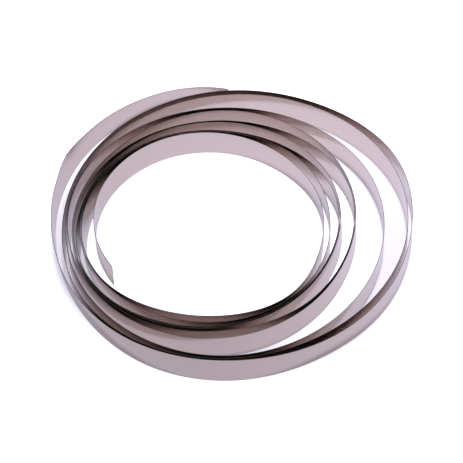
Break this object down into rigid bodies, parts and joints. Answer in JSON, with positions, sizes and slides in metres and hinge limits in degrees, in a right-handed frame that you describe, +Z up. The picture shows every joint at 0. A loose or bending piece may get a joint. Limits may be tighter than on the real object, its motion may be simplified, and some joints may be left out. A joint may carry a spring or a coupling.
{
  "type": "nickel strip",
  "caption": "Bare nickel strip in a loose springy coil, standing on its edge, with plain square-cut ends.",
  "frame": {"origin": "on the floor, under the middle of the coil's outline", "axes": "+Z up, along the strip's width; -Y towards the front of the coil, +X to its right"},
  "size_m": [0.0995, 0.1035, 0.008],
  "materials": {
    "nickel": "satin"
  },
  "bodies": {
    "root": {"nickel_strip": "nickel"}
  },
  "joints": []
}
